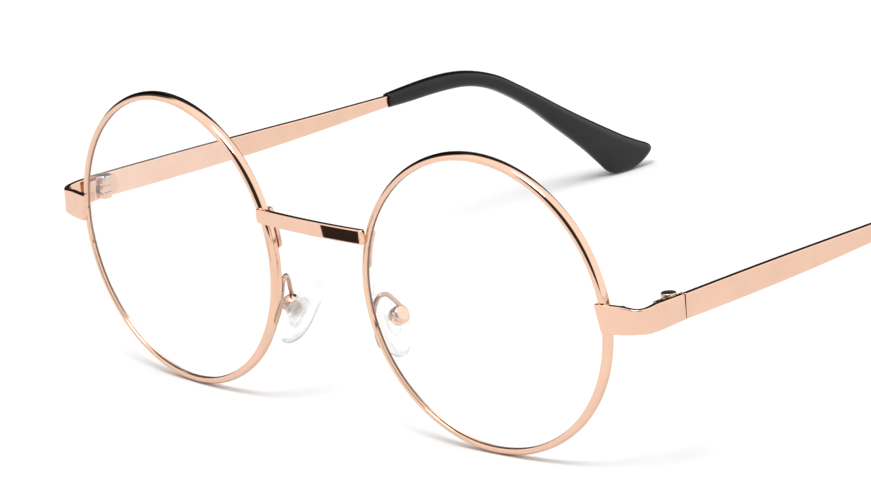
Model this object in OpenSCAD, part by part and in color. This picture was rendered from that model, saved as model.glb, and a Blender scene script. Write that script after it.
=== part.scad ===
// Round wire eyeglasses: two split eyewires with clear lenses, a flat bridge band,
// wrap-round end pieces, three-knuckle temple hinges, flat temples with moulded tips,
// and looped nose-pad arms carrying rocking silicone pads.
// Frame: +X is the wearer's left, +Y runs from the front back to the temple tips, +Z is
// up. Left and right in the names are the wearer's. The glasses stand open on Z = 0, on
// the bottoms of both rims and of both temple tips.

/* [Front] */
// Outer radius of each round rim
rim_r = 25.5; // [23.5:0.25:27.5]
// Width of the rim wire, measured towards the lens centre
rim_w = 1.25; // [1.1:0.05:1.4]
// Depth of the rim wire, front to back
rim_d = 1.8; // [1.7:0.05:2]
// Distance between the two lens centres
lens_spacing = 71.1; // [68:0.5:76]
// Angle that each rim turns back at the temple side
wrap = 4.6; // [3:0.2:6]
// Forward lean of the rims when the glasses stand on a table
tilt = 2.5; // [2:0.1:3]

/* [Lens] */
// Radius of the lens's front curve
lens_curve = 130; // [110:5:200]
// Thickness of the lens
lens_t = 1.2; // [1:0.1:1.4]

/* [Bridge] */
// Height of the bridge band
bridge_h = 2.6; // [2.2:0.1:3]
// Thickness of the bridge band
bridge_t = 0.9; // [0.7:0.1:1.2]
// Height of the bridge band's middle above the lens centres
bridge_z = 8.6; // [7.5:0.1:10]

/* [Temples] */
// Thickness of the temple and end piece plate
plate_t = 1; // [0.9:0.1:1.1]
// Angle that each open temple turns in towards the head
toe_in = 2.8; // [2:0.2:4]
// Widest half-thickness of the temple tip
tip_half_t = 1.75; // [1.5:0.05:2]

/* [Nose pads] */
// Thickness of the pad arm wire
arm_wire = 0.8; // [0.7:0.05:1]
// Length of each pad
pad_len = 13.3; // [12.7:0.2:13.9]
// Width of each pad
pad_w = 6.6; // [6.4:0.2:7]
// Adjustment bent into the arms: the left pad sits this much higher, the right one lower
pad_trim = 1.25; // [0:0.05:1.3]
// Slope of the pads' length below the horizontal: their tops stand closer together than their feet
pad_dip = 59; // [57:1:61]
// Angle in plan by which the pads' feet point forward, from straight outwards
pad_sweep = 24; // [22:1:26]
// Turn of each pad about its own length
pad_turn = 27; // [25:1:29]

/* [Hidden] */
$fn = 96;
e = 0.01;

cx = lens_spacing / 2;
rim_in = rim_r - rim_w;
y_front = -70.0;                      // puts the origin at the middle of the depth
rim_round = 0.5;                      // rounding of the wire's outer corners
z_lens = rim_r * cos(tilt) - rim_round * sin(tilt);  // lens centre above the table

// hinge, in the open position
end_x = cx + rim_r + 6.62;            // outer face of the straight part of the end piece
split_y = 13.25;                      // joint line between end piece and temple
inset = 1.3;                          // hinge axis to the inner face of the plates
px = end_x - plate_t - inset;         // hinge axis
py = 11.9;
split = split_y - py;
knuckle_r = 1.25;
hinge_shank = 0.65;
z_hinge = [25.5, 26.62, 27.86, 29.0]; // knuckle boundaries
z_top = 29.3;                         // top edge of the end piece

rose = "#e9b596";
rose_dark = "#d9a385";

// ---- helpers ----
module side(s) { if (s > 0) children(); else mirror([1, 0, 0]) children(); }
module front_frame() { translate([0, y_front, z_lens]) rotate([tilt, 0, 0]) children(); }
module rim_frame() { front_frame() translate([cx, 0, 0]) rotate([0, 0, wrap]) children(); }
module hinge_frame() { translate([px, y_front + py, 0]) children(); }
module temple_frame() { hinge_frame() rotate([0, 0, toe_in]) children(); }
module pad_frame(trim) {
  front_frame() translate([13.05, 3.75, -7.6 + trim]) rotate([180 - pad_turn, pad_dip, -pad_sweep]) children();
}
module revolve_back() { rotate([-90, 0, 0]) rotate_extrude() children(); }

function arc(c, r, a0, a1, n) = [for (i = [0:n]) c + r * [cos(a0 + (a1 - a0) * i / n), sin(a0 + (a1 - a0) * i / n)]];
function rev(v) = [for (i = [len(v) - 1:-1:0]) v[i]];
// point on a smooth curve through a list of points, at parameter t from 0 to len-1
function crom(p, t) =
  let (n = len(p), i = min(max(floor(t), 0), n - 2), u = t - i,
       a = p[max(i - 1, 0)], b = p[i], c = p[i + 1], d = p[min(i + 2, n - 1)])
  0.5 * (2 * b + u * (c - a) + u * u * (2 * a - 5 * b + 4 * c - d) + u * u * u * (3 * b - a - 3 * c + d));
function smooth(p, k) = [for (j = [0:(len(p) - 1) * k]) crom(p, j / k)];
function pw(v, ex) = sign(v) * pow(abs(v), ex);
// closed skin over rings that all have m points
function skin_faces(n, m) = concat(
  [[for (j = [m - 1:-1:0]) j]],
  [for (i = [0:n - 2], j = [0:m - 1]) [i * m + j, i * m + (j + 1) % m, (i + 1) * m + (j + 1) % m]],
  [for (i = [0:n - 2], j = [0:m - 1]) [i * m + j, (i + 1) * m + (j + 1) % m, (i + 1) * m + j]],
  [[for (j = [0:m - 1]) (n - 1) * m + j]]);
module skin(rings) {
  m = len(rings[0]);
  polyhedron(points = [for (r = rings, q = r) q], faces = skin_faces(len(rings), m), convexity = 6);
}
// round wire along a list of 3-D points
function unit(v) = v / norm(v);
function tangent(p, i) = unit(p[min(i + 1, len(p) - 1)] - p[max(i - 1, 0)]);
module wire(p, r, m) {
  skin([for (i = [0:len(p) - 1])
    let (t = tangent(p, i), u = unit(cross([1, 0.05, 0], t)), v = cross(t, u))
    [for (j = [0:m - 1]) p[i] + r * (cos(360 * j / m) * u + sin(360 * j / m) * v)]]);
}

// ---- rims and lenses ----
groove = 0.55;
groove_y = rim_d - 0.72;              // the lens groove lies behind the wire's middle
rim_profile = concat(
  [[rim_in + 0.12, 0], [rim_r - rim_round, 0]],
  arc([rim_r - rim_round, rim_round], rim_round, -75, 0, 5),
  arc([rim_r - rim_round, rim_d - rim_round], rim_round, 0, 90, 6),
  [[rim_in + 0.12, rim_d], [rim_in, rim_d - 0.12], [rim_in, groove_y + 0.5],
   [rim_in + groove, groove_y], [rim_in, groove_y - 0.5], [rim_in, 0.12]]);
rim_gap_z = 1.4;                      // height of the rim's split above the lens centre
module rim_tube(grow = 0) {
  revolve_back() translate([rim_in - grow, -grow]) square([rim_w + 2 * grow, rim_d + 2 * grow]);
}
module rim() {
  color(rose) rim_frame() difference() {
    revolve_back() polygon(rim_profile);
    translate([rim_in - 1, -1, rim_gap_z - 0.15]) cube([rim_w + 2, rim_d + 2, 0.3]);
  }
}
module lens() {
  r = rim_in - 0.05;
  m = groove_y;
  color([0.86, 0.94, 0.97, 0.3]) rim_frame() intersection() {
    translate([0, m - lens_t / 2 - 0.02 + sqrt(lens_curve * lens_curve - r * r), 0]) rotate([-90, 0, 0]) difference() {
      sphere(lens_curve, $fn = 240);
      sphere(lens_curve - lens_t, $fn = 240);
    }
    revolve_back() polygon([[0, -6], [r, -6], [r, m - 0.45], [r + 0.42, m], [r, m + 0.45], [r, 6], [0, 6]]);
  }
}

// ---- bridge ----
bow_r = 150;                          // the band bows gently forward between the rims
bow_x = bow_r * tan(wrap);            // where the band lies flat on a rim
bow_y = -(cx - bow_x) * tan(wrap) - (bow_r - sqrt(bow_r * bow_r - bow_x * bow_x)) - 0.005;
bridge_half = cx - sqrt(rim_in * rim_in - bridge_z * bridge_z) * cos(wrap) - 0.6;
module bridge() {
  color(rose) front_frame() intersection() {
    translate([0, bow_y + bow_r, bridge_z - bridge_h / 2]) difference() {
      cylinder(r = bow_r + bridge_t, h = bridge_h, $fn = 720);
      translate([0, 0, -1]) cylinder(r = bow_r, h = bridge_h + 2, $fn = 720);
    }
    translate([0, 0, bridge_z]) rotate([90, 0, 0]) linear_extrude(20)
      offset(0.5, $fn = 32) square([2 * bridge_half - 1, bridge_h - 1 + 2 * e], center = true);
  }
}
// small curved strap behind each rim that backs the bridge's solder joint
brace_t = 0.9;
module bridge_brace() {
  a0 = 187.3; a1 = 200.5; rm = rim_r - 0.6; w = 0.7;
  color(rose_dark) rim_frame() translate([0, rim_d, 0]) rotate([-90, 0, 0]) linear_extrude(brace_t)
    polygon(concat(
      arc([0, 0], rm + w, a0, a1, 12),
      [for (i = [1:11]) rm * [cos(a1), sin(a1)] + w * [cos(a1 + 180 * i / 12), sin(a1 + 180 * i / 12)]],
      arc([0, 0], rm - w, a1, a0, 12),
      [for (i = [1:11]) rm * [cos(a0), sin(a0)] + w * [cos(a0 + 180 + 180 * i / 12), sin(a0 + 180 + 180 * i / 12)]]));
}

// ---- end piece: seated on the rim's front, wrapped round to the hinge ----
ep_slope = 14;
ep_x0 = cx + rim_in * cos(wrap) + 0.03;
ep_y0 = 1.1;
ep_r = 3.0;
ep_x1 = end_x - ep_r * (1 - sin(ep_slope));
ep_y1 = ep_y0 + (ep_x1 - ep_x0) * tan(ep_slope);
ep_c = [ep_x1 - ep_r * sin(ep_slope), ep_y1 + ep_r * cos(ep_slope)];
ep_back = [-sin(ep_slope), cos(ep_slope)];
module end_piece_plan() {
  polygon(concat(
    [[ep_x0, ep_y0] - [cos(ep_slope), sin(ep_slope)], [ep_x0, ep_y0] + [cos(ep_slope), sin(ep_slope)]],
    arc(ep_c, ep_r, ep_slope - 90, 0, 19),
    [[end_x, split_y - 0.04], [end_x - plate_t, split_y - 0.04]],
    rev(arc(ep_c, ep_r - plate_t, ep_slope - 90, 0, 19)),
    [[ep_x0, ep_y0] + plate_t * ep_back - [cos(ep_slope), sin(ep_slope)]]));
}
module end_piece() {
  color(rose) difference() {
    translate([0, y_front, 0]) intersection() {
      translate([0, 0, 24]) linear_extrude(z_top - 24) end_piece_plan();
      rotate([90, 0, 90]) linear_extrude(80)
        polygon([[-1, 24.55], [5, 24.6], [split_y + 1, 25.0], [split_y + 1, z_top - 0.02], [5, z_top], [-1, z_top]]);
      // slanted inner end
      rotate([90, 0, 0]) translate([0, 0, -40]) linear_extrude(80)
        polygon([[ep_x0 + 0.53, 24], [80, 24], [80, z_top + 1], [ep_x0 - 0.88, z_top + 1]]);
    }
    // shallow waist at the bend, above and below
    translate([end_x - 1.1, y_front + 3.6, 0]) rotate([0, 0, -45]) {
      translate([0, 0, z_top + 15 - 0.35]) rotate([90, 0, 0]) cylinder(r = 15, h = 12, center = true, $fn = 256);
      translate([0, 0, 24.62 - 15 + 0.3]) rotate([90, 0, 0]) cylinder(r = 15, h = 12, center = true, $fn = 256);
    }
    // seat for the rim wire
    rim_frame() rim_tube();
  }
}

// ---- rim closing block: two halves and the screw that draws the split rim shut ----
blk_x = rim_r + 1.55;
blk_y = 1.87;
module closing_block(upper) {
  z0 = upper ? rim_gap_z + 0.15 : rim_gap_z - 2.0;
  h = upper ? 1.1 : 1.85;
  color(rose_dark) rim_frame() difference() {
    translate([rim_r - 0.4, 1.05, z0]) cube([3.1, 1.65, h]);
    rim_tube();
    translate([rim_in, rim_d - 0.1, z0 - 1]) cube([rim_w, 2, 4]);
    translate([blk_x, blk_y, z0 - 1]) cylinder(r = upper ? 0.55 : 0.51, h = 4, $fn = 48);
  }
}
module screw(shank, length, head_r, head_h, slot = 0.3) {
  // head underside at z = 0, shank down
  difference() {
    union() {
      translate([0, 0, -length]) cylinder(r = shank, h = length + e, $fn = 48);
      cylinder(r = head_r, h = head_h * 0.55, $fn = 48);
      translate([0, 0, head_h * 0.55]) cylinder(r1 = head_r, r2 = head_r * 0.72, h = head_h * 0.45, $fn = 48);
    }
    translate([-head_r - 1, -slot / 2, head_h * 0.5]) cube([2 * head_r + 2, slot, head_h]);
  }
}
module closing_screw() {
  color("silver") rim_frame() translate([blk_x, blk_y, rim_gap_z + 1.25]) screw(0.5, 3.2, 0.85, 0.4);
}

// ---- hinge ----
module front_hinge_leaf() {
  z0 = z_hinge[0]; z3 = z_hinge[3];
  color(rose_dark) hinge_frame() difference() {
    union() {
      translate([0.1, -3.8, z0]) cube([inset - 0.1, 3.8, z3 - z0]);
      translate([0, 0, z0]) cylinder(r = knuckle_r, h = z3 - z0, $fn = 64);
    }
    // room for the temple's knuckle
    translate([-2, -1.75, z_hinge[1]]) cube([inset + 2 + e, 5, z_hinge[2] - z_hinge[1]]);
    // rounded front corners
    for (z = [z0, z3]) translate([0, -3.8, z]) rotate([45, 0, 0]) cube([4, 0.9, 0.9], center = true);
    translate([0, 0, z0 - 1]) cylinder(r = hinge_shank + 0.01, h = 6, $fn = 64);
  }
}
module temple_hinge_leaf() {
  z0 = z_hinge[0] + 0.05; z3 = z_hinge[3] - 0.05;
  color(rose_dark) temple_frame() difference() {
    union() {
      translate([0.5, 0, 0]) rotate([90, 0, 90]) linear_extrude(inset - 0.5)
        polygon(concat([[split + 0.1, z0]], arc([2.3, z0 + 1.2], 1.2, -90, 0, 8), arc([2.3, z3 - 1.2], 1.2, 0, 90, 8), [[split + 0.1, z3]]));
      translate([0, 0, z_hinge[1] + 0.06]) cylinder(r = knuckle_r - 0.05, h = z_hinge[2] - z_hinge[1] - 0.12, $fn = 64);
      translate([0.1, 0, z_hinge[1] + 0.06]) cube([knuckle_r - 0.16, split + 0.5, z_hinge[2] - z_hinge[1] - 0.12]);
    }
    translate([0, 0, z0 - 1]) cylinder(r = hinge_shank + 0.05, h = 6, $fn = 64);
  }
}
module hinge_screw() {
  color("silver") hinge_frame() translate([0, 0, z_hinge[3]]) rotate([0, 0, 30]) screw(hinge_shank, z_hinge[3] - z_hinge[0] - 0.02, 1.3, 0.6);
}

// ---- temple: one flat strip whose narrow tail runs inside the tip ----
tip_y = 66 + split;                   // mouth of the tip, from the hinge axis
core_h = 1.3;                         // height of the tail inside the tip
// middle line of the tip, from the hinge axis: [distance back, height]
tip_mid = [[66, 26.85], [71, 27.05], [76, 27.2], [80.5, 27.1], [84.7, 26.7], [88.6, 25.75], [92.8, 24.1],
  [97.6, 21.3], [102.6, 18.0], [107.5, 14.4], [112.2, 11.1], [116, 8.5]];
core_mid = smooth([for (p = tip_mid) p + [split, 0]], 3);
function normal2(p, i) = let (t = unit(p[min(i + 1, len(p) - 1)] - p[max(i - 1, 0)])) [-t[1], t[0]];
bar_t = plate_t + 0.1;
core_t = plate_t - 0.1;               // the tail is a little thinner than the bar
bar_low = smooth([[0.8, 25.0], [12, 24.8], [25, 24.7], [38, 24.8], [50, 25.1], [60, 25.5], [tip_y - 0.02, 25.8]], 4);
bar_high = smooth([[tip_y - 0.02, 27.8], [60, 27.95], [50, 28.15], [38, 28.5], [25, 28.85], [12, 29.1], [0.8, 29.25]], 4);
function band(p, h) = concat(
  [for (i = [0:len(p) - 1]) p[i] - h / 2 * normal2(p, i)],
  [for (i = [len(p) - 1:-1:0]) p[i] + h / 2 * normal2(p, i)]);
tail_mid = concat([[tip_y - 1.5, 26.8]], core_mid);
module temple() {
  color(rose) difference() {
    temple_frame() {
      translate([inset, 0, 0]) rotate([90, 0, 90]) linear_extrude(bar_t) polygon(concat(bar_low, bar_high));
      translate([inset + (bar_t - core_t) / 2, 0, 0]) rotate([90, 0, 90]) linear_extrude(core_t) polygon(band(tail_mid, core_h));
    }
    hinge_frame() translate([-2, -6, 20]) cube([6, 6 + split + 0.04, 15]);
  }
}

// ---- temple tip: [top y, top z, bottom y, bottom z, half thickness] ----
tip_sections = [
  [66.0, 28.2, 66.0, 25.6, 1.15], [71.0, 28.55, 71.0, 25.55, 1.30], [76.0, 28.75, 75.9, 25.65, 1.42],
  [80.8, 28.65, 80.3, 25.6, 1.50], [85.2, 28.1, 84.2, 25.3, 1.55], [89.4, 27.0, 87.8, 24.5, 1.58],
  [93.7, 25.25, 91.8, 22.95, 1.60], [98.5, 22.45, 96.6, 20.2, 1.62], [103.6, 19.3, 101.5, 16.8, 1.65],
  [109.0, 15.85, 106.0, 13.05, 1.70], [114.4, 12.55, 110.2, 9.6, tip_half_t], [119.6, 9.5, 114.2, 6.2, tip_half_t],
  [124.2, 6.9, 117.6, 2.95, 1.70], [127.6, 5.2, 120.0, 0.7, 1.60], [129.9, 4.15, 122.0, 0.1, 1.50],
  [130.75, 3.55, 125.8, 0.12, 1.35], [130.9, 3.1, 129.2, 1.55, 0.9], [130.7, 2.75, 130.1, 2.2, 0.35]];
tip_rings = let (s = smooth(tip_sections, 3), x0 = inset + bar_t / 2, m = 24)
  [for (q = s)
    let (c = [(q[0] + q[2]) / 2 + split, (q[1] + q[3]) / 2], v = [(q[0] - q[2]) / 2, (q[1] - q[3]) / 2])
    [for (j = [0:m - 1]) let (a = 360 * j / m, sn = pw(sin(a), 0.8), cs = pw(cos(a), 0.8))
      [x0 + q[4] * cs, c[0] + v[0] * sn, c[1] + v[1] * sn]]];
module temple_tip() {
  color("#1b1b1e") temple_frame() difference() {
    skin([for (r = tip_rings) rev(r)]);
    translate([inset + (bar_t - core_t) / 2 - 0.04, 0, 0]) rotate([90, 0, 90]) linear_extrude(core_t + 0.08) polygon(band(tail_mid, core_h + 0.08));
  }
}

// ---- nose pads ----
// middle line of the arm wire: [x, y, z, share of the trim taken up by the bend]
arm_line = [[12.3, -0.95, -10.9, 0], [11.8, -0.95, -9.8, 0], [11.35, -0.8, -8.6, 0], [11.15, -0.5, -7.4, 0.05],
  [11.05, -0.2, -6.2, 0.1], [11.05, 0.05, -5.1, 0.15], [11.15, 0.45, -3.95, 0.2], [11.4, 1.05, -3.1, 0.25], [11.7, 1.8, -2.75, 0.3],
  [12.05, 2.5, -3.05, 0.4], [12.4, 3.05, -3.9, 0.55], [12.75, 3.5, -4.8, 0.75], [12.95, 3.85, -5.55, 0.9], [13.1, 4.05, -6.2, 1]];
module pad_arm(trim) {
  color(rose)
    front_frame() wire(smooth([for (p = arm_line) [p[0], p[1], p[2] + trim * p[3]]], 4), arm_wire / 2, 12);
}
// cup that takes the pad's lug
module pad_box(trim) {
  color(rose) pad_frame(trim) difference() {
    rotate_extrude($fn = 64) polygon(concat([[0, -1.1]], arc([1.05, -0.5], 0.6, -80, 0, 7), [[1.65, 0.75], [0, 0.75]]));
    translate([0, 0, -0.62]) cylinder(r = 1.28, h = 3, $fn = 64);
    rotate([90, 0, 0]) cylinder(r = 0.46, h = 6, center = true, $fn = 48);
  }
}
module pad_screw(trim) {
  color("silver") pad_frame(trim) rotate([-90, 0, 0]) translate([0, 0, 1.66]) screw(0.45, 3.3, 0.8, 0.45, 0.22);
}
module insert_plate(g) {
  translate([0, 0, 1.58]) hull() for (x = [-1.4, 1.4]) translate([x, 0, 0]) cylinder(r = 1.45 + g, h = 0.65, $fn = 32);
}
module pad_insert(trim) {
  color([0.9, 0.93, 0.95, 0.5]) pad_frame(trim) difference() {
    union() {
      insert_plate(0);
      translate([-0.6, -0.85, 0]) cube([1.2, 1.7, 1.7]);
      rotate([90, 0, 0]) cylinder(r = 0.6, h = 1.7, center = true, $fn = 48);
    }
    rotate([90, 0, 0]) cylinder(r = 0.48, h = 4, center = true, $fn = 48);
  }
}
// pad outline along its length: t runs from -1 (top) to 1 (foot)
function pad_half(t) = pow(max(1 - pow(abs(t), 2.4), 0.0001), 0.48) * (1 + 0.12 * t);
pad_t = [for (i = [0:24]) -cos(180 * i / 24)];
module nose_pad(trim) {
  m = 24;
  rings = [for (t = pad_t)
    let (w = max(pad_w / 2 * pad_half(t * 0.999), 0.12), h = 0.12 + 1.28 * pow(max(1 - pow(abs(t * 0.999), 2.6), 0), 0.5))
    [for (j = [0:m - 1]) let (a = 360 * j / m, sn = pw(sin(a), 0.85), cs = pw(cos(a), 0.85))
      [pad_len / 2 * t - 0.35, w * cs - 0.4, 2.2 + (sn > 0 ? 1.15 : 0.64) * h * sn + 0.3 * t * t]]];
  color([0.93, 0.95, 0.97, 0.45]) pad_frame(trim) difference() {
    skin(rings);
    insert_plate(0.03);
    translate([-0.75, -1, 0]) cube([1.5, 2, 1.7]);
  }
}

side(1) rim();  // rim_left
side(-1) rim();  // rim_right
side(1) lens();  // lens_left
side(-1) lens();  // lens_right
bridge();
side(1) bridge_brace();  // bridge_brace_left
side(-1) bridge_brace();  // bridge_brace_right
side(1) end_piece();  // end_piece_left
side(-1) end_piece();  // end_piece_right
side(1) closing_block(true);  // closing_block_upper_left
side(-1) closing_block(true);  // closing_block_upper_right
side(1) closing_block(false);  // closing_block_lower_left
side(-1) closing_block(false);  // closing_block_lower_right
side(1) closing_screw();  // closing_screw_left
side(-1) closing_screw();  // closing_screw_right
side(1) front_hinge_leaf();  // front_hinge_leaf_left
side(-1) front_hinge_leaf();  // front_hinge_leaf_right
side(1) temple_hinge_leaf();  // temple_hinge_leaf_left
side(-1) temple_hinge_leaf();  // temple_hinge_leaf_right
side(1) hinge_screw();  // hinge_screw_left
side(-1) hinge_screw();  // hinge_screw_right
side(1) temple();  // temple_left
side(-1) temple();  // temple_right
side(1) temple_tip();  // temple_tip_left
side(-1) temple_tip();  // temple_tip_right
side(1) pad_arm(pad_trim);  // pad_arm_left
side(-1) pad_arm(-pad_trim);  // pad_arm_right
side(1) pad_box(pad_trim);  // pad_box_left
side(-1) pad_box(-pad_trim);  // pad_box_right
side(1) pad_screw(pad_trim);  // pad_screw_left
side(-1) pad_screw(-pad_trim);  // pad_screw_right
side(1) pad_insert(pad_trim);  // pad_insert_left
side(-1) pad_insert(-pad_trim);  // pad_insert_right
side(1) nose_pad(pad_trim);  // nose_pad_left
side(-1) nose_pad(-pad_trim);  // nose_pad_right
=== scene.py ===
import bpy, bmesh, math
from math import sin, cos, pi, radians, sqrt
from mathutils import Vector, Matrix


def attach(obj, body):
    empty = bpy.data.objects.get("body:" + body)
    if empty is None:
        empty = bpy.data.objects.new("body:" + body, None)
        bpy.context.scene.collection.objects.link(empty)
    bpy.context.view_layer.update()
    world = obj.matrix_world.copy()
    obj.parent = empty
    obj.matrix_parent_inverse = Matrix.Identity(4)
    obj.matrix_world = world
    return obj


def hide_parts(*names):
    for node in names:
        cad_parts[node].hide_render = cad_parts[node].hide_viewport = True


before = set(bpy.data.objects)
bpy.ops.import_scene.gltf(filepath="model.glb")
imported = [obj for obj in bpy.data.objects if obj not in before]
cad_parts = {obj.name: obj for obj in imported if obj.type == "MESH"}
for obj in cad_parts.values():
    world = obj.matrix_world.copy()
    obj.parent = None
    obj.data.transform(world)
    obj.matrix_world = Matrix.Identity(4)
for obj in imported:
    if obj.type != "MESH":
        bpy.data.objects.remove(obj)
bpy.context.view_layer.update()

MM = 0.001

# ------------------------------------------------------------------ dimensions, mm
CX, RIM_R, RIM_W, RIM_D = 35.55, 25.5, 1.25, 1.8
RIM_IN = RIM_R - RIM_W
WRAP, TILT, Y0 = radians(4.6), radians(2.5), -70.0
RND = 0.5
GROOVE_Y = RIM_D - 0.72
Z_LENS = RIM_R * cos(TILT) - RND * sin(TILT)
END_X, SPLIT_Y, INSET, PLATE = CX + RIM_R + 6.62, 13.25, 1.3, 1.0
PX, PY = END_X - PLATE - INSET, 11.9
SPLIT = SPLIT_Y - PY
TOE = radians(2.8)
ZH = [25.5, 26.62, 27.86, 29.0]
Z_TOP = 29.3
PAD_TRIM = 1.25

# ------------------------------------------------------------------ frames
front = Matrix.Translation((0, Y0, Z_LENS)) @ Matrix.Rotation(TILT, 4, "X")
rimf = front @ Matrix.Translation((CX, 0, 0)) @ Matrix.Rotation(WRAP, 4, "Z")
hingef = Matrix.Translation((PX, Y0 + PY, 0))
templef = hingef @ Matrix.Rotation(TOE, 4, "Z")
world0 = Matrix.Translation((0, Y0, 0))


def padf(trim):
    return front @ Matrix.Translation((13.05, 3.75, -7.6 + trim)) @ Matrix.Rotation(radians(-24), 4, "Z") @ Matrix.Rotation(radians(59), 4, "Y") @ Matrix.Rotation(radians(153), 4, "X")


# ------------------------------------------------------------------ mesh helpers
def crom(p, t):
    n = len(p)
    i = min(max(int(math.floor(t)), 0), n - 2)
    u = t - i
    a, b, c, d = p[max(i - 1, 0)], p[i], p[i + 1], p[min(i + 2, n - 1)]
    return [0.5 * (2 * b[k] + u * (c[k] - a[k]) + u * u * (2 * a[k] - 5 * b[k] + 4 * c[k] - d[k]) + u ** 3 * (3 * b[k] - a[k] - 3 * c[k] + d[k])) for k in range(len(b))]


def smooth(p, k):
    return [crom(p, j / k) for j in range((len(p) - 1) * k + 1)]


def pw(v, e):
    return math.copysign(abs(v) ** e, v)


def arc(cx, cy, r, a0, a1, n):
    return [(cx + r * cos(radians(a0 + (a1 - a0) * i / n)), cy + r * sin(radians(a0 + (a1 - a0) * i / n))) for i in range(n + 1)]


def rrect(w, h, r, n=4):
    """Rounded rectangle centred on 0, anticlockwise."""
    a, b = w / 2 - r, h / 2 - r
    out = []
    for sx, sy, q in ((1, 1, 0), (-1, 1, 90), (-1, -1, 180), (1, -1, 270)):
        out += arc(sx * a, sy * b, r, q, q + 90, n)
    return out


def superell(a, b, e, m):
    return [(a * pw(cos(2 * pi * j / m), e), b * pw(sin(2 * pi * j / m), e)) for j in range(m)]


def loft(rings, closed=False, cap0=True, cap1=True):
    """Skin over rings of equal length: (verts, faces)."""
    m = len(rings[0])
    verts = [tuple(q) for r in rings for q in r]
    faces = []
    n = len(rings)
    for i in range(n if closed else n - 1):
        k = (i + 1) % n
        for j in range(m):
            faces.append((i * m + j, i * m + (j + 1) % m, k * m + (j + 1) % m, k * m + j))
    if not closed:
        if cap0:
            faces.append(tuple(range(m))[::-1])
        if cap1:
            faces.append(tuple((n - 1) * m + j for j in range(m)))
    return verts, faces


def join(*parts):
    verts, faces = [], []
    for v, f in parts:
        o = len(verts)
        verts += list(v)
        faces += [tuple(i + o for i in q) for q in f]
    return verts, faces


def revolve(profile, m=64):
    """Closed profile [(r, z)] about Z; points with r = 0 become poles."""
    verts, idx = [], []
    for r, z in profile:
        if abs(r) < 1e-9:
            idx.append([len(verts)] * m)
            verts.append((0, 0, z))
        else:
            idx.append(list(range(len(verts), len(verts) + m)))
            verts += [(r * cos(2 * pi * j / m), r * sin(2 * pi * j / m), z) for j in range(m)]
    faces = []
    loop = not (abs(profile[0][0]) < 1e-9 and abs(profile[-1][0]) < 1e-9)
    for i in range(len(profile) if loop else len(profile) - 1):
        a, b = idx[i], idx[(i + 1) % len(profile)]
        for j in range(m):
            k = (j + 1) % m
            q = []
            for v in (a[j], a[k], b[k], b[j]):
                if v not in q:
                    q.append(v)
            if len(q) > 2:
                faces.append(tuple(q))
    return verts, faces


def inset(outline, d):
    n = len(outline)
    out = []
    for i in range(n):
        p0, p1, p2 = Vector(outline[i - 1]), Vector(outline[i]), Vector(outline[(i + 1) % n])
        e0, e1 = (p1 - p0).normalized(), (p2 - p1).normalized()
        n0, n1 = Vector((-e0.y, e0.x)), Vector((-e1.y, e1.x))
        b = n0 + n1
        b = b / max(b.dot(n1), 0.5)
        out.append(tuple(p1 + b * d))
    return out


def prism(outline, z0, z1, r, n=3):
    """Extrusion of an anticlockwise outline along Z with rounded edges."""
    rings = []
    for i in range(n + 1):
        a = pi / 2 * i / n
        o = inset(outline, r * (1 - sin(a)))
        rings.append([(x, y, z0 + r * (1 - cos(a))) for x, y in o])
    for i in range(n + 1):
        a = pi / 2 * (1 - i / n)
        o = inset(outline, r * (1 - sin(a)))
        rings.append([(x, y, z1 - r * (1 - cos(a))) for x, y in o])
    return loft(rings)


def tube(path, section, up=(0, 0, 1), r_end=0.0, ends=(True, True)):
    """Sweep along 3-D points. section(i, s) -> [(a, b)], a across (tangent x up), b along the carried up direction."""
    P = [Vector(p) for p in path]
    n = len(P)
    S = [0.0]
    for i in range(1, n):
        S.append(S[-1] + (P[i] - P[i - 1]).length)
    rings = []
    for i in range(n):
        T = (P[min(i + 1, n - 1)] - P[max(i - 1, 0)]).normalized()
        U = Vector(up)
        A = T.cross(U).normalized()
        B = A.cross(T).normalized()
        rings.append((P[i], T, A, B, section(i, S[i])))
    out = []
    k = 4
    if r_end and ends[0]:
        c, T, A, B, sec = rings[0]
        for q in range(k):
            a = pi / 2 * q / k
            o = inset(sec, r_end * (1 - sin(a)))
            out.append([tuple(c + T * (r_end * (1 - cos(a)) - r_end * 0) + A * x + B * y) for x, y in o])
    for i, (c, T, A, B, sec) in enumerate(rings):
        if r_end and ((ends[0] and S[i] < r_end) or (ends[1] and S[-1] - S[i] < r_end)):
            continue
        out.append([tuple(c + A * x + B * y) for x, y in sec])
    if r_end and ends[1]:
        c, T, A, B, sec = rings[-1]
        for q in range(k - 1, -1, -1):
            a = pi / 2 * q / k
            o = inset(sec, r_end * (1 - sin(a)))
            out.append([tuple(c - T * (r_end * (1 - cos(a))) + A * x + B * y) for x, y in o])
    return loft(out)


def to_object(name, vf, mat, mtx=None, mirror=False, angle=32):
    verts, faces = vf
    me = bpy.data.meshes.new(name)
    me.from_pydata([Vector(v) for v in verts], [], faces)
    if mtx is not None:
        me.transform(mtx)
    if mirror:
        me.transform(Matrix.Scale(-1, 4, (1, 0, 0)))
    me.transform(Matrix.Scale(MM, 4))
    bm = bmesh.new()
    bm.from_mesh(me)
    bmesh.ops.remove_doubles(bm, verts=bm.verts, dist=1e-7)
    bmesh.ops.recalc_face_normals(bm, faces=bm.faces)
    bm.to_mesh(me)
    bm.free()
    me.shade_smooth()
    me.set_sharp_from_angle(angle=radians(angle))
    me.materials.append(mat)
    ob = bpy.data.objects.new(name, me)
    bpy.context.scene.collection.objects.link(ob)
    w = ob.modifiers.new("even_normals", "WEIGHTED_NORMAL")
    w.keep_sharp = True
    return ob


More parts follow.
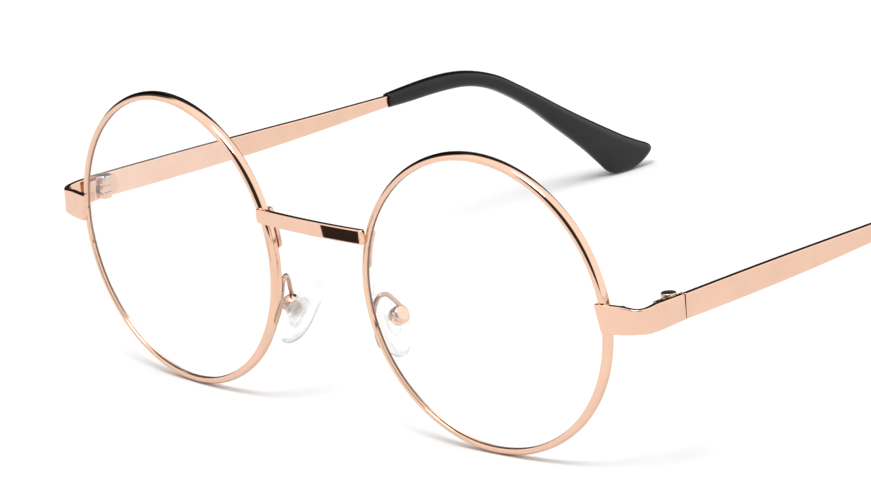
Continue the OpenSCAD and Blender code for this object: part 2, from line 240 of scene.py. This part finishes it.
def boolean(ob, parts, op):
    """Applies booleans with other mesh objects, which are then removed."""
    w = ob.modifiers.get("even_normals")
    if w:
        ob.modifiers.remove(w)
    for p in parts:
        m = ob.modifiers.new("b", "BOOLEAN")
        m.operation, m.object, m.solver = op, p, "EXACT"
        for w in list(p.modifiers):
            p.modifiers.remove(w)
    dg = bpy.context.evaluated_depsgraph_get()
    me = bpy.data.meshes.new_from_object(ob.evaluated_get(dg))
    for m in list(ob.modifiers):
        ob.modifiers.remove(m)
    old = ob.data
    ob.data = me
    bpy.data.meshes.remove(old)
    for p in parts:
        d = p.data
        bpy.data.objects.remove(p)
        bpy.data.meshes.remove(d)
    me.shade_smooth()
    me.set_sharp_from_angle(angle=radians(32))
    w = ob.modifiers.new("even_normals", "WEIGHTED_NORMAL")
    w.keep_sharp = True
    return ob


# ------------------------------------------------------------------ materials
def nodes_of(name):
    m = bpy.data.materials.new(name)
    m.use_nodes = True
    nt = m.node_tree
    nt.nodes.clear()
    out = nt.nodes.new("ShaderNodeOutputMaterial")
    b = nt.nodes.new("ShaderNodeBsdfPrincipled")
    nt.links.new(b.outputs[0], out.inputs[0])
    return m, nt, b, out


def noise(nt, scale, detail=3.0, stretch=(1, 1, 1), rough=0.5, rot=(0, 0, 0)):
    tc = nt.nodes.new("ShaderNodeTexCoord")
    mp = nt.nodes.new("ShaderNodeMapping")
    mp.inputs["Scale"].default_value = stretch
    mp.inputs["Rotation"].default_value = rot
    n = nt.nodes.new("ShaderNodeTexNoise")
    n.inputs["Scale"].default_value = scale
    n.inputs["Detail"].default_value = detail
    n.inputs["Roughness"].default_value = rough
    nt.links.new(tc.outputs["Object"], mp.inputs[0])
    nt.links.new(mp.outputs[0], n.inputs["Vector"])
    return n


def ramp(nt, src, lo, hi, a, b):
    r = nt.nodes.new("ShaderNodeMapRange")
    r.inputs["From Min"].default_value = lo
    r.inputs["From Max"].default_value = hi
    r.inputs["To Min"].default_value = a
    r.inputs["To Max"].default_value = b
    nt.links.new(src, r.inputs["Value"])
    return r.outputs["Result"]


def mixcol(nt, fac, c0, c1):
    m = nt.nodes.new("ShaderNodeMix")
    m.data_type = "RGBA"
    m.inputs["A"].default_value = (*c0, 1)
    m.inputs["B"].default_value = (*c1, 1)
    nt.links.new(fac, m.inputs["Factor"])
    return m.outputs["Result"]


def bump(nt, b, src, strength, dist):
    n = nt.nodes.new("ShaderNodeBump")
    n.inputs["Strength"].default_value = strength
    n.inputs["Distance"].default_value = dist
    nt.links.new(src, n.inputs["Height"])
    nt.links.new(n.outputs[0], b.inputs["Normal"])


def metal(name, c0, c1, r0, r1, scratch=0.05):
    m, nt, b, out = nodes_of(name)
    b.inputs["Metallic"].default_value = 1.0
    patch = noise(nt, 260, 4)
    nt.links.new(mixcol(nt, ramp(nt, patch.outputs["Fac"], 0.35, 0.68, 0, 1), c0, c1), b.inputs["Base Color"])
    fine = noise(nt, 2600, 5, rough=0.65)
    nt.links.new(ramp(nt, fine.outputs["Fac"], 0.3, 0.75, r0, r1), b.inputs["Roughness"])
    # hairline polishing marks, long in one direction and very narrow across it
    hair = noise(nt, 900, 2, stretch=(0.18, 0.18, 6.0), rough=0.7, rot=(0.35, 0.2, 0.5))
    bump(nt, b, hair.outputs["Fac"], scratch, 0.00002)
    return m


rose = metal("rose_gold_polished", (0.785, 0.520, 0.390), (0.755, 0.495, 0.368), 0.045, 0.11)
rose2 = metal("rose_gold_small_parts", (0.740, 0.490, 0.370), (0.640, 0.420, 0.315), 0.10, 0.22, 0.09)
wire_mat = metal("rose_gold_wire", (0.560, 0.380, 0.300), (0.470, 0.315, 0.250), 0.10, 0.20, 0.09)
# painted reflection: rose-gold metal put on the glass edge of each lens, in place of the groove metal seen through the
# glass
lens_edge_reflection_metal = metal("lens_edge_painted_reflection", (0.760, 0.520, 0.400), (0.690, 0.470, 0.360), 0.25, 0.40, 0.08)
steel = metal("screw_steel", (0.640, 0.540, 0.480), (0.540, 0.450, 0.400), 0.12, 0.24, 0.12)
rose_b = metal("rose_gold_bridge", (0.785, 0.520, 0.390), (0.760, 0.500, 0.372), 0.015, 0.04, 0.03)


def glassy(name, ior, r0, r1, tint, scale=500, clear=0.0, bumpy=0.0):
    m, nt, b, out = nodes_of(name)
    b.inputs["Base Color"].default_value = (*tint, 1)
    b.inputs["Transmission Weight"].default_value = 1.0
    b.inputs["IOR"].default_value = ior
    n = noise(nt, scale, 4)
    nt.links.new(ramp(nt, n.outputs["Fac"], 0.45, 0.8, r0, r1), b.inputs["Roughness"])
    if bumpy:
        g = noise(nt, 700, 2)
        bump(nt, b, g.outputs["Fac"], bumpy, 0.00005)
    lp = nt.nodes.new("ShaderNodeLightPath")
    tr = nt.nodes.new("ShaderNodeBsdfTransparent")
    tr.inputs[0].default_value = (*[0.5 + 0.5 * t for t in tint], 1)
    mx = nt.nodes.new("ShaderNodeMixShader")
    fac = lp.outputs["Is Shadow Ray"]
    if clear:
        # thin clear moulding: part of the light passes without bending
        fac = ramp(nt, fac, 0, 1, clear, 1)
    nt.links.new(fac, mx.inputs[0])
    nt.links.new(b.outputs[0], mx.inputs[1])
    nt.links.new(tr.outputs[0], mx.inputs[2])
    nt.links.new(mx.outputs[0], out.inputs[0])
    return m


lens_mat = glassy("clear_lens", 1.5, 0.0, 0.012, (1.0, 1.0, 1.0), 60)
silicone = glassy("clear_silicone", 1.36, 0.06, 0.18, (0.985, 0.99, 0.995), 900, clear=0.62, bumpy=0.12)
insertm = glassy("pad_insert", 1.42, 0.03, 0.08, (0.97, 0.98, 0.985), 900, clear=0.55)


def acetate():
    m, nt, b, out = nodes_of("black_acetate")
    n = noise(nt, 180, 5)
    nt.links.new(mixcol(nt, ramp(nt, n.outputs["Fac"], 0.3, 0.75, 0, 1), (0.004, 0.004, 0.0045), (0.009, 0.0085, 0.009)), b.inputs["Base Color"])
    f = noise(nt, 1500, 5, rough=0.6)
    nt.links.new(ramp(nt, f.outputs["Fac"], 0.3, 0.75, 0.15, 0.25), b.inputs["Roughness"])
    b.inputs["IOR"].default_value = 1.36
    g = noise(nt, 420, 3)
    bump(nt, b, g.outputs["Fac"], 0.06, 0.00006)
    return m


black = acetate()

# ------------------------------------------------------------------ camera
cam = bpy.data.cameras.new("camera")
cam.sensor_width = 36
cam.lens = 256.785
cam.clip_start, cam.clip_end = 0.05, 30
camo = bpy.data.objects.new("camera", cam)
bpy.context.scene.collection.objects.link(camo)
rx, ux, bx = Vector((0.7161137, 0.6949447, -0.0650621)), Vector((-0.150761, 0.2450175, 0.9577252)), Vector((0.6815074, -0.6760313, 0.2802309))
cm = Matrix((rx, ux, bx)).transposed().to_4x4()
cm.translation = Vector((0.7067376, -0.7454107, 0.3132494))
camo.matrix_world = cm
bpy.context.scene.camera = camo
bpy.context.scene.view_settings.view_transform = "Standard"
bpy.context.scene.view_settings.look = "None"


# ------------------------------------------------------------------ rims and lenses
def both(name, build, mat, body, node, mtx, angle=32, per_side=False):
    """Builds name_left on +X and its mirror image name_right."""
    res = []
    for side, mir in (("left", False), ("right", True)):
        vf = build(side) if per_side else build()
        mt = mtx(side) if callable(mtx) else mtx
        o = to_object(f"{name}_{side}", vf, mat, mt, mir, angle)
        place(o, body.replace("SIDE", side), f"{node}_{side}")
        res.append(o)
    return res


def place(o, body, node):
    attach(o, body)
    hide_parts(*([node] if isinstance(node, str) else node))


def rim():
    m = GROOVE_Y
    prof = [(RIM_R - 0.80 + 0.80 * cos(radians(a)), 1.15 + 1.15 * sin(radians(a))) for a in range(-90, 1, 6)]
    prof += arc(RIM_R - RND, RIM_D - RND, RND, 0, 90, 7)
    prof += arc(RIM_IN + 0.14, RIM_D - 0.14, 0.14, 90, 180, 4)
    prof += [(RIM_IN, m + 0.5), (RIM_IN + 0.5, m + 0.02), (RIM_IN + 0.5, m - 0.02), (RIM_IN, m - 0.5)]
    prof += arc(RIM_IN + 0.14, 0.14, 0.14, 180, 270, 4)
    a0 = math.degrees(math.asin(1.4 / 25)) + 0.35
    rings = []
    N = 420
    for i in range(N + 1):
        a = radians(a0 + (360 - 0.7) * i / N)
        rings.append([(r * cos(a), y, r * sin(a)) for r, y in prof])
    return loft(rings)


def lens():
    R, t = 130.0, 1.2
    re, m = RIM_IN - 0.05, GROOVE_Y
    yc = m - t / 2 - 0.02 + sqrt(R * R - re * re)
    fr = [re * sin(pi / 2 * i / 40) for i in range(41)]
    prof = [(r, yc - sqrt(R * R - r * r)) for r in fr]
    prof += [(re + 0.02, m - 0.42), (re + 0.40, m - 0.02), (re + 0.40, m + 0.02), (re + 0.02, m + 0.42)]
    prof += [(r, yc - sqrt((R - t) ** 2 - r * r)) for r in fr[::-1]]
    v, f = revolve([(r, y) for r, y in prof], 200)
    return [(x, z, y) for x, y, z in v], [q[::-1] for q in f]


both("rim", rim, rose, "front", "rim", rimf)
for o in both("lens", lens, lens_mat, "front", "lens", rimf, angle=25):
    # the lens's glass edge sits in the rim's groove and gets a metal material: a painted reflection of the groove
    # metal round it
    o.data.materials.append(lens_edge_reflection_metal)
    for q in o.data.polygons:
        if 40 * 200 <= q.index < 45 * 200:
            q.material_index = 1

# ------------------------------------------------------------------ bridge
BOW = 150.0
bow_x = BOW * math.tan(WRAP)
bow_y = -(CX - bow_x) * math.tan(WRAP) - (BOW - sqrt(BOW * BOW - bow_x * bow_x)) - 0.005
BH, BT, BZ = 2.6, 0.9, 8.6
half = CX - sqrt(RIM_IN ** 2 - BZ ** 2) * cos(WRAP) - 0.6


def bridge():
    rc = BOW + BT / 2
    path, N = [], 60
    for i in range(N + 1):
        # points crowd towards both ends, where the corners are rounded
        x = -half * cos(pi * i / N)
        path.append((x, bow_y + BOW - sqrt(rc * rc - x * x), BZ))

    def sec(i, s):
        x = abs(path[i][0])
        d = half - x
        h = BH - 2 * (0.5 - sqrt(max(0.5 ** 2 - max(0.5 - d, 0) ** 2, 0)))
        return rrect(BT, h, 0.26, 5)
    return tube(path, sec, r_end=0.12)


o = to_object("bridge", bridge(), rose_b, front)
place(o, "front", "bridge")


def brace():
    rm, w, t = RIM_R - 0.6, 0.68, 0.9
    a0, a1 = 187.3 - math.degrees(w / rm), 200.5 + math.degrees(w / rm)
    rings = []
    N = 40
    L = radians(a1 - a0) * rm
    for i in range(N + 1):
        u = 0.5 - 0.5 * cos(pi * i / N)
        a = radians(a0 + (a1 - a0) * u)
        d = min(u, 1 - u) * L
        ww = sqrt(max(w * w - max(w - d, 0) ** 2, 0.0004))
        tt = t * min(1, 0.25 + 0.75 * (ww / w))
        ring = []
        for p, q in superell(ww, tt, 0.62, 28):
            y = RIM_D - 0.02 + max(q, 0.0) if q > 0 else RIM_D - 0.02 + 0.02 * q
            ring.append(((rm + p) * cos(a), y, -(rm + p) * sin(a)))
        rings.append(ring)
    return loft(rings)


both("bridge_brace", brace, rose2, "front", "bridge_brace", rimf)

# ------------------------------------------------------------------ end pieces
SL = radians(14)
EX0, EY0, ER = CX + RIM_IN * cos(WRAP) + 0.03, 1.1, 3.0
EX1 = END_X - ER * (1 - sin(SL))
EY1 = EY0 + (EX1 - EX0) * math.tan(SL)
ECX, ECY = EX1 - ER * sin(SL), EY1 + ER * cos(SL)


def end_piece():
    h = PLATE / 2
    path = []
    n = 10
    for i in range(n):
        t = i / n
        x0 = EX0 - cos(SL)
        y0 = EY0 - sin(SL)
        path.append((x0 + (EX1 - x0) * t - h * sin(SL), y0 + (EY1 - y0) * t + h * cos(SL)))
    for i in range(25):
        a = SL - pi / 2 + (pi / 2 - SL) * i / 24
        path.append((ECX + (ER - h) * cos(a), ECY + (ER - h) * sin(a)))
    y1 = SPLIT_Y - 0.04
    for i in range(1, 21):
        path.append((END_X - h, ECY + (y1 - ECY) * i / 20))

    def top_bottom(p):
        x, y = p
        lo = 24.55 + 0.05 * min(max((y + 1) / 6, 0), 1) if y < 5 else 24.6 + 0.4 * (y - 5) / 9.25
        hi = Z_TOP if y < 5 else Z_TOP - 0.02 * (y - 5) / 9.25
        # waist at the bend
        u = ((x - (END_X - 1.1)) + (y - 3.6)) / sqrt(2)
        w = max(0.0, 1 - (u / 3.2) ** 2)
        return lo + 0.26 * w * w, hi - 0.30 * w * w
    P3, H = [], []
    for p in path:
        lo, hi = top_bottom(p)
        P3.append((p[0], p[1], (lo + hi) / 2))
        H.append(hi - lo)
    v, f = tube(P3, lambda i, s: rrect(PLATE, H[i], 0.24, 5), r_end=0.10)
    # the inner end is cut at a slant: its foot stands further out than its top
    out = []
    for x, y, z in v:
        k = min(max(1 - (x - EX0) / 3.0, 0.0), 1.0)
        dx = k * (1.10 + 0.53 - 1.41 * (z - 24) / 6.3)
        out.append((x + dx, y + dx * math.tan(SL), z))
    return out, f


both("end_piece", end_piece, rose, "front", "end_piece", world0)


# ------------------------------------------------------------------ rim closing blocks and screws
def block(upper):
    z0 = 1.55 if upper else -0.6
    x0, x1, y0, y1 = RIM_R + 0.01, RIM_R + 2.68, 1.06, 2.69
    r = (y1 - y0) / 2
    out = [(x0, y0)] + arc(x1 - r, (y0 + y1) / 2, r, -90, 90, 14) + [(x0, y1)]
    return prism(out, z0, z0 + (1.09 if upper else 1.84), 0.14)


both("closing_block_upper", lambda: block(True), rose2, "front", "closing_block_upper", rimf)
both("closing_block_lower", lambda: block(False), rose2, "front", "closing_block_lower", rimf)


def screw(name, shank, length, head_r, head_h, slot_w, mtx, mirror, spin=0.0):
    prof = [(0, -length + 0.02), (shank - 0.12, -length + 0.02), (shank, -length + 0.14), (shank, 0.0)]
    prof += [(head_r - 0.04, 0.0), (head_r, 0.04)]
    prof += [(head_r, head_h * 0.45)] + arc(head_r - head_h * 0.45, head_h * 0.45, head_h * 0.45, 20, 75, 4) + [(head_r * 0.4, head_h * 0.97), (0, head_h - 0.005)]
    sm = mtx @ Matrix.Rotation(spin, 4, "Z")
    o = to_object(name, revolve(prof, 48), steel, sm, mirror)
    c = to_object(name + "_cut", prism(rrect(head_r * 2 + 1, slot_w, 0.02, 1), head_h * 0.48, head_h + 1, 0.01, 1), steel, sm, mirror)
    return boolean(o, [c], "DIFFERENCE")


for side, mir in (("left", False), ("right", True)):
    s = screw(f"closing_screw_{side}", 0.5, 3.2, 0.85, 0.4, 0.26, rimf @ Matrix.Translation((RIM_R + 1.55, 1.87, 2.65)), mir, 0.6)
    place(s, "front", f"closing_screw_{side}")
    s = screw(f"hinge_screw_{side}", 0.65, ZH[3] - ZH[0] - 0.02, 1.3, 0.6, 0.32, hingef @ Matrix.Translation((0, 0, ZH[3])), mir, radians(30))
    place(s, "front", f"hinge_screw_{side}")
    tr = PAD_TRIM if side == "left" else -PAD_TRIM
    s = screw(f"pad_screw_{side}", 0.45, 3.3, 0.8, 0.45, 0.24, padf(tr) @ Matrix.Rotation(radians(-90), 4, "X") @ Matrix.Translation((0, 0, 1.66)), mir, 0.4)
    place(s, "front", f"pad_screw_{side}")

# ------------------------------------------------------------------ hinge leaves
for side, mir in (("left", False), ("right", True)):
    kn = [(INSET - 0.01, -3.8), (INSET - 0.01, 0.0)] + arc(0, 0, 1.25, 12, 265, 30) + [(0.1, -1.3), (0.1, -3.8)]
    o = to_object(f"front_hinge_leaf_{side}", prism(kn, ZH[0], ZH[1], 0.10), rose2, hingef, mir)
    u = to_object("u", prism(kn, ZH[2], ZH[3], 0.10), rose2, hingef, mir)
    w = to_object("w", prism([(INSET - 0.012, -3.79), (INSET - 0.012, -1.75), (0.102, -1.75), (0.102, -3.79)], ZH[0] + 0.35, ZH[3] - 0.35, 0.02), rose2, hingef, mir)
    boolean(o, [u, w], "UNION")
    place(o, "front", f"front_hinge_leaf_{side}")

    z0, z3 = ZH[0] + 0.05, ZH[3] - 0.05
    d = [(SPLIT + 0.1, z0 + 0.0)] + arc(2.3, z0 + 1.2, 1.2, -90, 0, 10) + arc(2.3, z3 - 1.2, 1.2, 0, 90, 10) + [(SPLIT + 0.1, z3)]
    v, f = prism(d, 0.5, INSET - 0.005, 0.12)
    o = to_object(f"temple_hinge_leaf_{side}", ([(c, a, b) for a, b, c in v], f), rose2, templef, mir)
    web = [(0.12, SPLIT + 0.45)] + arc(0, 0, 1.2, 86, 350, 30) + [(1.18, 0.0), (1.18, SPLIT + 0.45)]
    k = to_object("k", prism(web, ZH[1] + 0.06, ZH[2] - 0.06, 0.07), rose2, templef, mir)
    boolean(o, [k], "UNION")
    place(o, f"{side}_temple", f"temple_hinge_leaf_{side}")

# ------------------------------------------------------------------ temples
CORE_H = 1.3
TIP_Y = 66 + SPLIT
TIP_MID = [(66, 26.85), (71, 27.05), (76, 27.2), (80.5, 27.1), (84.7, 26.7), (88.6, 25.75), (92.8, 24.1), (97.6, 21.3), (102.6, 18.0), (107.5, 14.4), (112.2, 11.1), (116, 8.5)]
EDGE = [(1.39, 24.99, 29.25), (12, 24.8, 29.1), (25, 24.7, 28.85), (38, 24.8, 28.5), (50, 25.1, 28.15), (60, 25.5, 27.95), (TIP_Y, 25.8, 27.8)]


def temple():
    path, H, W = [], [], []
    for y, lo, hi in smooth(EDGE, 8):
        path.append((INSET + 0.55, y, (lo + hi) / 2))
        H.append(hi - lo)
        W.append(1.1)
    core = smooth([(a + SPLIT, b) for a, b in TIP_MID], 4)
    # the tail inside the tip is narrower and thinner than the bar
    for j, (y, z) in enumerate(core[1:]):
        path.append((INSET + 0.55, y, z))
        H.append(max(CORE_H, 2.0 - 0.35 * j))
        W.append(0.9)
    return tube(path, lambda i, s: rrect(W[i], H[i], 0.28 if W[i] > 1 else 0.2, 5), r_end=0.10)


both("temple", temple, rose, "SIDE_temple", "temple", templef)

TIP = [(66.0, 28.2, 66.0, 25.6, 1.15), (71.0, 28.55, 71.0, 25.55, 1.30), (76.0, 28.75, 75.9, 25.65, 1.42),
       (80.8, 28.65, 80.3, 25.6, 1.50), (85.2, 28.1, 84.2, 25.3, 1.55), (89.4, 27.0, 87.8, 24.5, 1.58),
       (93.7, 25.25, 91.8, 22.95, 1.60), (98.5, 22.45, 96.6, 20.2, 1.62), (103.6, 19.3, 101.5, 16.8, 1.65),
       (109.0, 15.85, 106.0, 13.05, 1.70), (114.4, 12.55, 110.2, 9.6, 1.75), (119.6, 9.5, 114.2, 6.2, 1.75),
       (124.2, 6.9, 117.6, 2.95, 1.70), (127.6, 5.2, 120.0, 0.7, 1.60), (129.9, 4.15, 122.0, 0.1, 1.50),
       (130.75, 3.55, 125.8, 0.12, 1.35), (130.9, 3.1, 129.2, 1.55, 0.9), (130.7, 2.75, 130.1, 2.2, 0.35)]


def tip():
    x0, m = INSET + 0.55, 48
    rings = []
    def ring(q, k=1.0, dy=0.0):
        c = ((q[0] + q[2]) / 2 + SPLIT, (q[1] + q[3]) / 2)
        v = ((q[0] - q[2]) / 2, (q[1] - q[3]) / 2)
        return [(x0 + q[4] * k * pw(cos(2 * pi * j / m), 0.8), c[0] + dy + v[0] * k * pw(sin(2 * pi * j / m), 0.8), c[1] + v[1] * k * pw(sin(2 * pi * j / m), 0.8)) for j in range(m)]
    q0 = TIP[0]
    # mouth: socket floor, socket wall, rolled lip
    def hole(k, dy):
        return [(x0 + 0.60 * k * pw(cos(2 * pi * j / m), 0.35), q0[0] + SPLIT + dy, 26.85 + 1.04 * k * pw(sin(2 * pi * j / m), 0.35)) for j in range(m)]
    rings += [hole(0.9, 2.0), hole(1.0, 2.0), hole(1.0, 0.15), hole(1.10, 0.02)]
    rings += [ring(q0, 0.90, 0.0), ring(q0, 0.965, 0.06), ring(q0, 0.995, 0.22)]
    s = smooth(TIP, 7)
    rings += [ring(q) for q in s[1:]]
    last = TIP[-1]
    for k in (0.6, 0.2):
        rings.append(ring(last, k, 0.02))
    return loft(rings)


both("temple_tip", tip, black, "SIDE_temple", "temple_tip", templef, angle=50)

# ------------------------------------------------------------------ nose pads
ARM = [(12.3, -0.95, -10.9, 0), (11.8, -0.95, -9.8, 0), (11.35, -0.8, -8.6, 0), (11.15, -0.5, -7.4, 0.05),
       (11.05, -0.2, -6.2, 0.1), (11.05, 0.05, -5.1, 0.15), (11.15, 0.45, -3.95, 0.2), (11.4, 1.05, -3.1, 0.25),
       (11.7, 1.8, -2.75, 0.3), (12.05, 2.5, -3.05, 0.4), (12.4, 3.05, -3.9, 0.55), (12.75, 3.5, -4.8, 0.75),
       (12.95, 3.85, -5.55, 0.9), (13.1, 4.05, -6.2, 1)]


def trim_of(side):
    return PAD_TRIM if side == "left" else -PAD_TRIM


def arm(side):
    tr = trim_of(side)
    path = smooth([(x, y, z + tr * w) for x, y, z, w in ARM], 9)
    n = len(path)
    P = [Vector(p) for p in path]
    rings = []
    A = None
    for i in range(n):
        T = (P[min(i + 1, n - 1)] - P[max(i - 1, 0)]).normalized()
        if A is None:
            A = T.cross(Vector((1, 0.05, 0))).normalized()
        A = (A - T * A.dot(T)).normalized()
        B = T.cross(A)
        d = min(i, n - 1 - i) / 5.0
        k = sqrt(max(1 - max(1 - d, 0) ** 2, 0.02))
        flat = 1 - 0.22 * max(0, 1 - i / 22)
        rings.append([tuple(P[i] + (A * cos(2 * pi * j / 20) * 0.4 + B * sin(2 * pi * j / 20) * 0.4 * flat) * k) for j in range(20)])
    return loft(rings)


both("pad_arm", arm, wire_mat, "front", "pad_arm", front, per_side=True)


def box():
    prof = [(0, -1.1), (0.9, -1.1)] + arc(1.06, -0.51, 0.58, -85, 0, 7) + [(1.64, 0.63)]
    prof += arc(1.53, 0.63, 0.11, 0, 90, 3) + arc(1.40, 0.63, 0.11, 90, 180, 3) + [(1.29, -0.52), (1.19, -0.62), (0, -0.62)]
    return revolve(prof, 64)


both("pad_box", box, rose, "front", "pad_box", lambda s: padf(trim_of(s)))


def insert():
    m = 40
    rings = []
    for z, a, b, e in ((-0.565, 0.14, 0.78, 0.6), (-0.50, 0.29, 0.82, 0.6), (-0.40, 0.41, 0.84, 0.6), (-0.30, 0.48, 0.84, 0.6), (-0.18, 0.53, 0.84, 0.6), (0.0, 0.565, 0.84, 0.6), (0.6, 0.57, 0.84, 0.6), (1.45, 0.59, 0.84, 0.6), (1.55, 0.75, 0.92, 0.7), (1.60, 1.3, 1.15, 0.8),
                       (1.61, 2.5, 1.30, 0.85), (1.67, 2.78, 1.42, 0.88), (1.9, 2.83, 1.44, 0.88), (2.12, 2.80, 1.42, 0.88), (2.21, 2.55, 1.30, 0.88)):
        rings.append([(x, y, z) for x, y in superell(a, b, e, m)])
    return loft(rings)


both("pad_insert", insert, insertm, "SIDE_pad", "pad_insert", lambda s: padf(trim_of(s)))


def pad():
    L, W, m, n = 13.3, 6.6, 56, 56
    rings = []
    for i in range(n + 1):
        t = -cos(pi * i / n) * 0.9995
        w = W / 2 * max(1 - abs(t) ** 2.4, 0.0001) ** 0.48 * (1 + 0.12 * t)
        w = max(w, 0.06)
        h = 0.06 + 1.30 * max(1 - abs(t) ** 2.6, 0) ** 0.5
        ring = []
        for j in range(m):
            a = 2 * pi * j / m
            sn, cs = pw(sin(a), 0.85), pw(cos(a), 0.85)
            ring.append((L / 2 * t - 0.35, w * cs - 0.4, 2.2 + (1.14 if sn > 0 else 0.64) * h * sn + 0.3 * t * t))
        rings.append(ring)
    return loft(rings)


pads = both("nose_pad", pad, silicone, "SIDE_pad", "nose_pad", lambda s: padf(trim_of(s)), angle=60)

# ------------------------------------------------------------------ floor, light, surroundings
bpy.ops.mesh.primitive_plane_add(size=8)
floor = bpy.context.object
floor.name = "floor"
fm, nt, b, out = nodes_of("floor_paper")
n = noise(nt, 40, 4)
nt.links.new(mixcol(nt, n.outputs["Fac"], (0.90, 0.90, 0.90), (0.92, 0.92, 0.92)), b.inputs["Base Color"])
b.inputs["Roughness"].default_value = 0.95
b.inputs["Specular IOR Level"].default_value = 0.1
floor.data.materials.append(fm)
floor.location = (0, 0, -0.00002)

# a small dark card lying in front of the bridge, seen only in reflections
cme = bpy.data.meshes.new("reflection_card")
cme.from_pydata([(x * MM, y * MM, 0.6 * MM) for x, y in ((-52.0, -130.0), (-75.0, -152.0), (-57.0, -163.0), (-40.0, -138.5))], [], [(0, 1, 2, 3)])
card = bpy.data.objects.new("reflection_card", cme)
bpy.context.scene.collection.objects.link(card)
cmat, nt, b, out = nodes_of("card_black")
n = noise(nt, 60, 3)
nt.links.new(mixcol(nt, n.outputs["Fac"], (0.012, 0.008, 0.007), (0.02, 0.014, 0.012)), b.inputs["Base Color"])
b.inputs["Roughness"].default_value = 0.9
b.inputs["Specular IOR Level"].default_value = 0.1
cme.materials.append(cmat)
card.visible_camera = card.visible_diffuse = card.visible_transmission = card.visible_shadow = False

w = bpy.data.worlds.new("studio")
bpy.context.scene.world = w
w.use_nodes = True
nt = w.node_tree
nt.nodes.clear()
wo = nt.nodes.new("ShaderNodeOutputWorld")
bg = nt.nodes.new("ShaderNodeBackground")
nt.links.new(bg.outputs[0], wo.inputs[0])
tc = nt.nodes.new("ShaderNodeTexCoord")


def toward(v):
    """Cosine of the angle between the sky direction and v."""
    dt = nt.nodes.new("ShaderNodeVectorMath")
    dt.operation = "DOT_PRODUCT"
    dt.inputs[1].default_value = Vector(v).normalized()
    nt.links.new(tc.outputs["Generated"], dt.inputs[0])
    return dt.outputs["Value"]


def combine(op, a, b=None):
    m = nt.nodes.new("ShaderNodeMath")
    m.operation = op
    nt.links.new(a, m.inputs[0])
    if b is not None:
        nt.links.new(b, m.inputs[1])
    return m.outputs[0]


# a dark backdrop on the side away from the camera, low and wide
back = ramp(nt, toward((-0.66, 0.66, 0.36)), cos(radians(48)), cos(radians(40)), 1.0, 0.02)
# the dark room behind the camera
gap = ramp(nt, toward((0.447, -0.844, 0.298)), cos(radians(43)), cos(radians(36)), 1.0, 0.03)
# a darker corner of the room at the far left
side_dark = ramp(nt, toward((-0.88, 0.0, 0.36)), cos(radians(31)), cos(radians(24)), 1.0, 0.06)
dark = combine("MULTIPLY", combine("MULTIPLY", back, gap), side_dark)
lp = nt.nodes.new("ShaderNodeLightPath")
mx = nt.nodes.new("ShaderNodeMath")
mx.operation = "MAXIMUM"
nt.links.new(dark, mx.inputs[0])
nt.links.new(lp.outputs["Is Camera Ray"], mx.inputs[1])
bg.inputs[0].default_value = (1, 1, 1, 1)
level = nt.nodes.new("ShaderNodeMath")
level.operation = "MULTIPLY"
level.inputs[1].default_value = 1.36
nt.links.new(mx.outputs[0], level.inputs[0])
nt.links.new(level.outputs[0], bg.inputs[1])

key = bpy.data.lights.new("overhead_softbox", "AREA")
key.shape = "DISK"
key.size = 0.55
key.energy = 8.0
ko = bpy.data.objects.new("overhead_softbox", key)
bpy.context.scene.collection.objects.link(ko)
ko.location = (0.16, -0.52, 1.2)
ko.rotation_euler = (ko.location - Vector((0, 0, 0))).to_track_quat("Z", "Y").to_euler()
